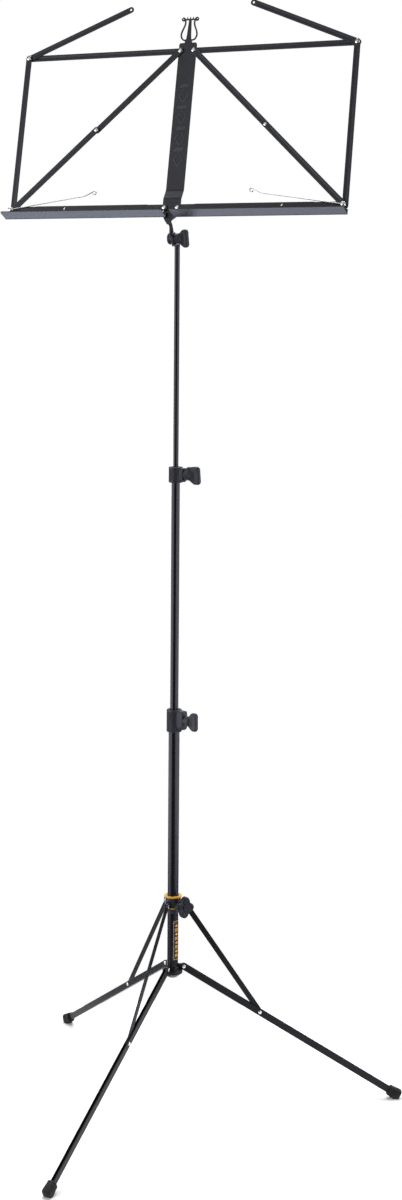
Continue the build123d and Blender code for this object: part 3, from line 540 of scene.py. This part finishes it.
def clamp(name, body, node, place, boss, radius, span, tube_r, upper_r):
    """Clamp with moulded grip ribs, rounded ends, and a boss with a raised ring for its screw."""
    (boss_end, boss_half), (low, high) = boss, span
    shape, count = Shape(), 168
    rows = [(tube_r, low), (tube_r + 1.0, low), (radius - 0.6, low + 0.15), (radius - 0.1, low + 0.7),
            (radius, low + 1.4), (radius, low + 2.2),
            (radius - 0.05, low + 2.6), (radius - 0.05, high - 3.0),
            (radius, high - 2.6), (radius, high - 1.6), (radius - 0.15, high - 0.9),
            (radius - 0.8, high - 0.3),
            (upper_r + 1.6, high), (upper_r + 0.6, high - 0.1), (upper_r, high - 0.5), (upper_r, low)]
    rings = []
    for index, (size, height) in enumerate(rows):
        ribbed = 6 <= index <= 7
        ring = []
        for step in range(count):
            rib = -0.38 * (step % 4 >= 2) if ribbed else 0.0
            turn = step * math.tau / count
            ring.append(((size + rib) * math.cos(turn), (size + rib) * math.sin(turn), height))
        rings.append(ring)
    shape.skin(rings, wrap=True)
    stages = [(radius - 3.0, 1.0), (boss_end - 2.4, 0.985), (boss_end - 0.7, 0.97), (boss_end - 0.2, 0.93),
              (boss_end, 0.86)]
    skin = []
    for height, size in stages:
        skin.append([(x, y, height) for x, y in rounded(boss_half * size, 6.0 * size, 5.0, 72)])
    shape.skin(skin, place)
    screw_ring = [(3.0, -0.3), (4.6, -0.3), (4.6, 0.28), (4.3, 0.4), (3.0, 0.4)]
    shape.lathe([(r, boss_end + height) for r, height in screw_ring], place, 40, wrap=True)
    return shape.finish(name, body, "charcoal_plastic", node, sharp=32)


# ---------------------------------------------------------------- rivets


def dome(radius, height):
    """Profile of a set rivet head with a small dimple in the middle."""
    points = [(0.001, 0.0), (radius * 0.97, 0.0), (radius, height * 0.14), (radius * 0.985, height * 0.3)]
    for step in range(1, 8):
        turn = math.radians(20 + step * 8.5)
        points.append((radius * math.cos(turn) * 1.03, height * (0.32 + 0.66 * math.sin(turn))))
    return points + [(radius * 0.1, height * 0.93), (0.001, height * 0.9)]


def rivet(shape, place, front, back, head, shank=RIVET_R, heads=(True, True)):
    """Shank between two faces along local Z, with a dome at each end that has one."""
    shape.lathe([(0.001, back), (shank, back), (shank, front), (0.001, front)], place, 24)
    if heads[0]:
        shape.lathe(dome(*head), place @ moved(0, 0, front), 36)
    if heads[1]:
        shape.lathe(dome(*head), place @ moved(0, 0, back) @ turned("X", 180), 36)


def washer(shape, place, low, high):
    """Spacer round a rivet's shank, with broken edges."""
    edge = min(0.25, (high - low) / 4)
    shape.lathe([(RIVET_R, low), (SPACER_R - edge, low), (SPACER_R, low + edge), (SPACER_R, high - edge),
                 (SPACER_R - edge, high), (RIVET_R, high)], place, 36, wrap=True)


def desk_rivets():
    """Rivets of the centre plate, the tray's ends, the top corners and the braces' middles."""
    half = SHEET / 2
    plate = Shape()
    for u in (-PITCH, PITCH):
        rivet(plate, desk(u, ARM_H), LAYER + half + 0.2, -LAYER - half - 0.2, SPINE_HEAD)
        front = TRAY_LAYER * LAYER + half + 0.2
        rivet(plate, desk(u, 0), front, 4 * LAYER - half, SPINE_HEAD, heads=(True, False))
    plate.finish("spine_rivet_set", "desk", "bright_rivet", "spine_rivets")
    for side, name in ((1, "right"), (-1, "left")):
        outer = side * (PITCH + ARM_W)
        tray = Shape()
        front = WIRE_LAYER * LAYER + WIRE_R + 0.15
        rivet(tray, desk(outer, 0), front, LAYER - half, TRAY_HEAD, heads=(True, False))
        for layer in (2, 4):
            low, high = (layer - 1) * LAYER + half + 0.15, (layer + 1) * LAYER - half - 0.15
            washer(tray, desk(outer, 0), low, high)
        washer(tray, desk(outer, 0), TRAY_LAYER * LAYER + half, WIRE_LAYER * LAYER - WIRE_R - 0.15)
        small, middle = desk(side * (PITCH + ARM_W - SMALL_RIVET_FROM_END), 0), TRAY_LAYER * LAYER
        rivet(tray, small, middle + half + 1.2, middle - half, SMALL_HEAD, SMALL_RIVET_R, (True, False))
        tray.finish(f"tray_rivet_set_{name}", f"tray_{name}", "bright_rivet", f"tray_rivets_{name}")
        corner = Shape()
        rivet(corner, desk(outer, ARM_H), LAYER + half + 0.2, -LAYER - half, CORNER_HEAD)
        corner.finish(f"corner_rivet_set_{name}", f"top_bar_{name}", "bright_rivet", f"corner_rivet_{name}")
        turn = math.atan2(ARM_H, ARM_W)
        reach = (math.hypot(ARM_W, ARM_H) - BRACE_STEP) / 2
        knee = desk(side * (PITCH + reach * math.cos(turn)), ARM_H - reach * math.sin(turn))
        under = LAYER + half + 0.25
        brace = Shape()
        rivet(brace, knee, 3 * LAYER + half, under, BRACE_HEAD, heads=(True, False))
        washer(brace, knee, under, 3 * LAYER - half)
        brace.finish(f"brace_rivet_set_{name}", f"lower_brace_{name}", "bright_rivet",
                     f"brace_rivet_{name}")


def tripod_rivets():
    """Rivets of the leg hub, the knees and the collar's ears."""
    hub, collar = Shape(), Shape()
    for number, azimuth in enumerate(LEG_AZIMUTHS, start=1):
        turn = turned("Z", azimuth)
        across = turned("X", 90)
        rivet(hub, turn @ moved(LEG_PIVOT[0], 0, LEG_PIVOT[1]) @ across, 2.95, -2.95, TRIPOD_HEAD)
        knee = Shape()
        rivet(knee, turn @ moved(KNEE_R, 0, KNEE_Z) @ across, 2.8, -2.8, TRIPOD_HEAD)
        knee.finish(f"knee_rivet_set_{number}", f"leg_{number}", "bright_rivet", f"knee_rivet_{number}")
        for side in (-90, 90):
            ear = turn @ moved(EAR_R, 0, EAR_Z) @ turned("X", side)
            rivet(collar, ear, 2.5, 1.1, TRIPOD_HEAD, heads=(True, False))
    hub.finish("hub_rivet_set", "base", "bright_rivet", "hub_rivets")
    collar.finish("collar_rivet_set", "collar", "bright_rivet", "collar_rivets")


# ---------------------------------------------------------------- page wires and feet


def page_wires():
    """Drawn spring wire: an eye, a straight shaft, a bend and an open loop at the end."""
    eye = 1.65 + WIRE_R
    low, kink = math.radians(WIRE_ANGLE), math.radians(WIRE_ANGLE + WIRE_KINK)
    knee = Vector((WIRE_LENGTH * math.cos(low), WIRE_LENGTH * math.sin(low), 0))
    tip_way = Vector((math.cos(kink), math.sin(kink), 0))
    tip = knee + tip_way * WIRE_TIP
    aside = Vector((tip_way.y, -tip_way.x, 0))
    for side, name in ((1, "right"), (-1, "left")):
        turns = [low + step * math.tau / 40 for step in range(40)]
        ring = [(eye * math.cos(turn), eye * math.sin(turn), 0) for turn in turns]
        start = Vector((eye * math.cos(low), eye * math.sin(low), 0))
        path = [start.lerp(knee, step / 12 * 0.96) for step in range(13)]
        bend = path[-1], knee, knee + tip_way * 4.8
        for step in range(1, 9):
            t = step / 8
            path.append(bend[0] * (1 - t) ** 2 + bend[1] * 2 * t * (1 - t) + bend[2] * t * t)
        path += [bend[2].lerp(tip, step / 3) for step in range(1, 4)]
        centre = tip + aside * WIRE_LOOP_R
        for step in range(1, 25):
            turn = math.radians(285) * step / 24
            path.append(centre + WIRE_LOOP_R * (tip_way * math.sin(turn) - aside * math.cos(turn)))
        place = desk(side * (PITCH + ARM_W), 0) @ moved(0, 0, WIRE_LAYER * LAYER)
        if side > 0:
            place = place @ Matrix.Scale(-1, 4, (1, 0, 0))
        shape = Shape().wire(ring, WIRE_R, place, wrap=True).wire(path, WIRE_R, place)
        shape.finish(f"page_holder_{name}", f"page_wire_{name}", "spring_wire", f"page_wire_{name}")


def feet():
    """Rubber caps: a lip at the neck, four grip ridges, a rounded heel and a worn flat below."""
    rows = [(345.0, 5.1, 6.1, 3.2), (345.4, 5.8, 6.8, 3.4), (346.6, 6.1, 7.1, 3.6), (348.2, 6.15, 7.2, 3.6),
            (348.9, 5.8, 6.9, 3.6)]
    ridge = ((0.0, 6.05, 7.25), (1.4, 6.1, 7.35), (1.8, 5.8, 7.05), (2.2, 5.8, 7.05))
    for groove in range(4):
        start, flare = 349.6 + groove * 2.5, groove * 0.19
        rows += [(start + on, wide + flare, tall + flare * 1.3, 3.6) for on, wide, tall in ridge]
    rows += [(359.8, 6.65, 8.4, 3.6), (361.2, 6.6, 8.4, 3.4), (362.5, 6.1, 7.9, 3.2),
             (363.2, 5.2, 7.0, 2.9), (363.5, 3.9, 5.6, 2.6), (363.5, 2.0, 3.0, 2.3)]
    lean = moved(LEG_PIVOT[0], 0, LEG_PIVOT[1]) @ turned("Y", LEG_ANGLE) @ moved(0, 0, -0.5)
    for number, azimuth in enumerate(LEG_AZIMUTHS, start=1):
        rings = []
        for along, wide, tall, power in rows:
            rings.append([(along, y, z) for y, z in rounded(wide, tall, power, 64)])
        shape = Shape().skin(rings, turned("Z", azimuth) @ lean)
        shape.finish(f"foot_cap_{number}", f"leg_{number}", "black_rubber", f"foot_{number}", floor=True)


# ---------------------------------------------------------------- tilter


def tilter():
    """Outer disc, hexagon bolt, and the head: serrated disc, web, foot and a pin into the rod."""
    along = moved(0, 0, TILT_Z) @ turned("Y", 90)
    cap = Shape()
    cap.lathe([(2.5, -9.2), (8.2, -9.2), (8.55, -9.5), (8.6, -10.2), (8.5, -11.2), (8.0, -12.3),
               (7.1, -12.95), (6.0, -13.0), (5.2, -12.7), (2.5, -12.6)], along, 64, wrap=True)
    cap.finish("tilt_outer_disc", "top_section", "charcoal_plastic", "tilt_cap")
    bolt = Shape()
    bolt.skin([circle(4.2, height, 6) for height in (-12.9, -13.0, -14.1)], along)
    bolt.lathe([(0.001, -14.3), (2.6, -14.3), (3.4, -14.0), (3.4, -13.6), (0.001, -13.6)], along, 36)
    bolt.lathe([(0.001, 9.0), (2.2, 9.0), (2.5, 8.6), (2.5, -12.9), (0.001, -12.9)], along, 32)
    bolt.finish("tilt_hex_bolt", "top_section", "steel_screw", "tilt_bolt")
    head, count = Shape(), 120
    rings = []
    disc = ((2.5, -7.0), (8.3, -7.0), (8.7, -6.8), (9.0, -6.4), (9.0, -4.3), (8.7, -3.9), (8.2, -3.6),
            (2.5, -3.6))
    for radius, x in disc:
        ring = []
        for step in range(count):
            tooth = 0.22 if radius > 8.9 and step % 4 >= 2 else 0.0
            turn = step * math.tau / count
            ring.append(((radius - tooth) * math.cos(turn), (radius - tooth) * math.sin(turn), x))
        rings.append(ring)
    head.skin(rings, along, wrap=True)
    foot = [[(x * size - 1.8, y * size, ROD_END + up) for x, y in rounded(5.2, 3.4, 5.0, 64)]
            for up, size in ((0.0, 0.96), (0.4, 1.0), (2.7, 1.0), (3.1, 0.94))]
    head.skin(foot)
    web = [[(x - 5.3, y, z) for x, y in rounded(1.7, 3.4, 8.0, 32)] for z in (1214.6, 1221.0)]
    head.skin(web)
    head.lathe([(0.001, 1205.5), (2.5, 1205.5), (2.5, 1214.6), (0.001, 1214.6)], count=24)
    head.finish("tilt_friction_head", "top_section", "black_powder_coat", "tilt_head", sharp=30)


def spine_relief():
    """Raised edges round the lozenges pressed into the centre plate, and bars between them."""
    shape = Shape()
    for number in range(LOZENGE_COUNT):
        v = LOZENGE_V + number * LOZENGE_PITCH
        lozenge = [(5.9, 0), (0, 8.9), (-5.9, 0), (0, -8.9)]
        rings = []
        for size, height in ((1.26, 0.55), (1.18, 0.90), (0.96, 0.90), (0.88, 0.3)):
            ring = []
            for index, corner in enumerate(lozenge):
                after = lozenge[(index + 1) % 4]
                for part in range(6):
                    t = part / 6
                    ring.append(((corner[0] + (after[0] - corner[0]) * t) * size,
                                 (corner[1] + (after[1] - corner[1]) * t) * size, height))
            rings.append(ring)
        shape.skin(rings, desk(0, v), ends=(False, False))
        bars = [[(x * size, y * wide, height) for x, y in rounded(1.0, 1.0, 4.0, 40)]
                for size, wide, height in ((7.2, 2.6, 0.5), (6.8, 2.2, 0.86), (6.0, 1.4, 0.92))]
        shape.skin(bars, desk(0, v + 14.0))
    # The raised pattern gets the lighter coat, a painted highlight.
    shape.finish("spine_pressed_pattern", "desk", "black_powder_coat", material=HIGHLIT_RELIEF_COAT, sharp=24)


# ---------------------------------------------------------------- tube label


def patch(shape, turn_low, turn_high, low, high, proud=0.03):
    """Thin curved panel just proud of the base tube, from one azimuth and height to another."""
    radius = BASE_TUBE_R + proud
    steps = max(2, int(abs(turn_high - turn_low) / 3))
    for index in range(steps):
        a = math.radians(turn_low + (turn_high - turn_low) * index / steps)
        b = math.radians(turn_low + (turn_high - turn_low) * (index + 1) / steps)
        corners = []
        for turn, height in ((a, low), (b, low), (b, high), (a, high)):
            corners.append(Vector((radius * math.cos(turn), radius * math.sin(turn), height)))
        first = len(shape.points)
        shape.points += corners
        shape.faces.append((first, first + 1, first + 2, first + 3))


def tube_label():
    """Printed film: a dark ground, a gold border and a plain row of bars and lozenges."""
    left, right, low, high = LABEL
    ground = Shape()
    patch(ground, left, right, low, high, 0.02)
    ground.finish("label_ground", "base", "black_tube", material=label_film(), sharp=60)
    gold = Shape()
    inset, line, edge, thin = 3.0, 3.2, 1.0, 0.5
    patch(gold, left + inset, left + inset + line, low + edge, high - edge)
    patch(gold, right - inset - line, right - inset, low + edge, high - edge)
    patch(gold, left + inset, right - inset, low + edge, low + edge + thin)
    patch(gold, left + inset, right - inset, high - edge - thin, high - edge)
    middle, wide, motif = (left + right) / 2, (right - left) * 0.24, 6.1
    for index in range(8):
        base = low + 5.0 + index * motif
        if index % 2:
            for row in range(6):
                reach = wide * (1 - abs(row - 2.5) / 3.2)
                patch(gold, middle - reach, middle + reach, base + row * 0.62, base + row * 0.62 + 0.5)
        else:
            for offset in (0.0, 1.5, 3.0):
                patch(gold, middle - wide, middle + wide, base + offset, base + offset + 0.8)
    gold.finish("label_gold", "base", "yellow_plastic", material=gold_print(), sharp=60)


# ---------------------------------------------------------------- put together


def make_pieces():
    wing_knob("base_wing_knob", "base_clamp_screw", "base_clamp_knob",
              BASE_PLACE @ moved(0, 0, BASE_BOSS[0] + KNOB_GAP),
              length=21.5, neck=7.0, wing=13.0, upper_root=7.0, thick=3.9, spread_from=0.38)
    wing_knob("mid_wing_knob", "mid_clamp_screw", "mid_clamp_knob",
              MID_PLACE @ moved(0, 0, MID_BOSS[0] + KNOB_GAP) @ turned("Z", 8),
              length=23.5, neck=7.4, wing=13.0, upper_root=12.2, thick=3.9, spread_from=0.36)
    wing_knob("tilt_wing_knob", "tilt_lock", "tilt_knob",
              moved(-3.3, 0, TILT_Z) @ turned("Y", 90) @ turned("Z", 12),
              length=20.0, neck=7.6, wing=13.0, upper_root=7.6, thick=4.8, spread_from=0.42)
    lobe_knob()
    threaded_screw("base_thumb_screw", "base_clamp_screw", "base_clamp_screw",
                   BASE_PLACE, tip=6.15, end=SCREW_END)
    threaded_screw("mid_thumb_screw", "mid_clamp_screw", "mid_clamp_screw",
                   MID_PLACE, tip=3.9, end=SCREW_END)
    threaded_screw("collar_thumb_screw", "collar_lock", "collar_screw",
                   outward(COLLAR_KNOB_AZIMUTH, COLLAR_KNOB_Z), tip=8.15, end=27.0)
    clamp("base_tube_clamp", "base", "base_clamp", BASE_PLACE, BASE_BOSS,
          radius=10.8, span=(529.0, 561.0), tube_r=BASE_TUBE_R, upper_r=6.05)
    clamp("mid_tube_clamp", "mid_section", "mid_clamp", MID_PLACE, MID_BOSS,
          radius=10.0, span=(882.5, 905.0), tube_r=MID_TUBE_R, upper_r=3.8)
    desk_rivets()
    tripod_rivets()
    page_wires()
    feet()
    tilter()
    spine_relief()
    tube_label()


make_pieces()

# ---------------------------------------------------------------- studio


FLOOR_RINGS = (0.11, 0.22, 0.33, 0.43)                  # metres
AMBIENT = 0.07
GLOW_POWER = 4.0                                        # watts per square metre for each unit of glow
CAMERA_PLACE = (983.5, -2311.5, 1125.3)                 # millimetres from the mast's foot
CAMERA_YAW, CAMERA_PITCH, CAMERA_ROLL = -22.26, -2.12, 0.4
CAMERA_LENS, CAMERA_SHIFT = 53.63, -0.1863


def make_floor():
    """Small pale disc under the feet, which catches their shadows."""
    bm = bmesh.new()
    centre = bm.verts.new((0, 0, 0))
    count, last = 64, None
    for radius in FLOOR_RINGS:
        row = []
        for step in range(count):
            turn = step * math.tau / count
            row.append(bm.verts.new((radius * math.cos(turn), radius * math.sin(turn), 0)))
        for step in range(count):
            after = (step + 1) % count
            if last is None:
                bm.faces.new((centre, row[step], row[after]))
            else:
                bm.faces.new((last[step], row[step], row[after], last[after]))
        last = row
    mesh = bpy.data.meshes.new("studio_floor")
    bm.to_mesh(mesh)
    bm.free()
    floor = bpy.data.objects.new("studio_floor", mesh)
    bpy.context.scene.collection.objects.link(floor)
    n = Nodes("studio_floor")
    n.colour(n.ramp(n.noise(3, 2), [(0.3, (0.80, 0.80, 0.80)), (0.7, (0.83, 0.83, 0.83))]))
    n.rough(n.spread(n.noise(40, 2), 0.80, 0.90))
    mesh.materials.append(n.material)


def make_world():
    """Pale surroundings: white to the camera, softer as a light."""
    world = bpy.data.worlds.new("studio")
    bpy.context.scene.world = world
    world.use_nodes = True
    tree = world.node_tree
    shown = tree.nodes["Background"]
    shown.inputs["Color"].default_value = (1.0, 1.0, 1.0, 1)
    shown.inputs["Strength"].default_value = 1.0
    dim = tree.nodes.new("ShaderNodeBackground")
    dim.inputs["Color"].default_value = (0.95, 0.96, 1.0, 1)
    dim.inputs["Strength"].default_value = AMBIENT
    path = tree.nodes.new("ShaderNodeLightPath")
    mix = tree.nodes.new("ShaderNodeMixShader")
    tree.links.new(path.outputs["Is Camera Ray"], mix.inputs["Fac"])
    tree.links.new(dim.outputs["Background"], mix.inputs[1])
    tree.links.new(shown.outputs["Background"], mix.inputs[2])
    tree.links.new(mix.outputs["Shader"], tree.nodes["World Output"].inputs["Surface"])


def make_softbox(name, azimuth, distance, height, size, glow, aim, tint=(1.0, 1.0, 1.0)):
    """Rectangular light turned to the mast at height aim; azimuth 0 is in front, 90 on the right."""
    data = bpy.data.lights.new("softbox_" + name, "AREA")
    data.shape = "RECTANGLE"
    data.size, data.size_y = size
    data.color = tint
    data.energy = glow * GLOW_POWER * size[0] * size[1]
    lamp = bpy.data.objects.new("softbox_" + name, data)
    bpy.context.scene.collection.objects.link(lamp)
    turn = math.radians(azimuth)
    away = Vector((math.sin(turn) * distance, -math.cos(turn) * distance, height))
    lamp.location = AXIS + away
    lamp.rotation_euler = (Vector((0, 0, aim)) - away).to_track_quat("-Z", "Y").to_euler()
    lamp.visible_camera = False


def make_sun(name, azimuth, elevation, spread, power):
    """Very large soft light far away, for even light from the floor to the desk."""
    data = bpy.data.lights.new(name, "SUN")
    data.energy = power
    data.angle = math.radians(spread)
    lamp = bpy.data.objects.new(name, data)
    bpy.context.scene.collection.objects.link(lamp)
    turn, lift = math.radians(azimuth), math.radians(elevation)
    away = Vector((math.sin(turn) * math.cos(lift), -math.cos(turn) * math.cos(lift), math.sin(lift)))
    lamp.rotation_euler = (-away).to_track_quat("-Z", "Y").to_euler()


def make_lights():
    """Wide boxes left and right draw the bands on the tubes; a low one behind lights the ledge."""
    make_softbox("left", azimuth=-57, distance=2.6, height=0.8, size=(4.2, 2.8), glow=1.9, aim=0.8)
    make_softbox("right", azimuth=92, distance=2.6, height=0.8, size=(5.2, 2.8), glow=1.7, aim=0.8)
    make_softbox("front_top", azimuth=-23, distance=2.6, height=3.1, size=(2.4, 1.6), glow=0.6, aim=1.3)
    make_softbox("back_low", azimuth=203, distance=1.9, height=-0.1, size=(2.4, 2.0), glow=2.3, aim=1.2,
                 tint=(0.80, 0.84, 1.0))
    make_sun("top_back", azimuth=200, elevation=66, spread=60, power=4.3)


def make_camera():
    """Camera 1.1 m above the floor, to the right of the stand's front."""
    yaw, pitch, roll = (math.radians(angle) for angle in (CAMERA_YAW, CAMERA_PITCH, CAMERA_ROLL))
    forward = Vector((math.sin(yaw) * math.cos(pitch), math.cos(yaw) * math.cos(pitch), math.sin(pitch)))
    right = Vector((math.cos(yaw), -math.sin(yaw), 0))
    up = right.cross(forward)
    side = right * math.cos(roll) + up * math.sin(roll)
    up = up * math.cos(roll) - right * math.sin(roll)
    data = bpy.data.cameras.new("camera")
    data.sensor_width = 36
    data.lens = CAMERA_LENS
    data.shift_x, data.shift_y = 0.0, CAMERA_SHIFT
    camera = bpy.data.objects.new("camera", data)
    bpy.context.scene.collection.objects.link(camera)
    turn = Matrix((side, up, -forward)).transposed().to_4x4()
    camera.matrix_world = Matrix.Translation(at(*CAMERA_PLACE)) @ turn
    bpy.context.scene.camera = camera


bpy.context.scene.view_settings.view_transform = "Standard"
make_floor()
make_world()
make_lights()
make_camera()
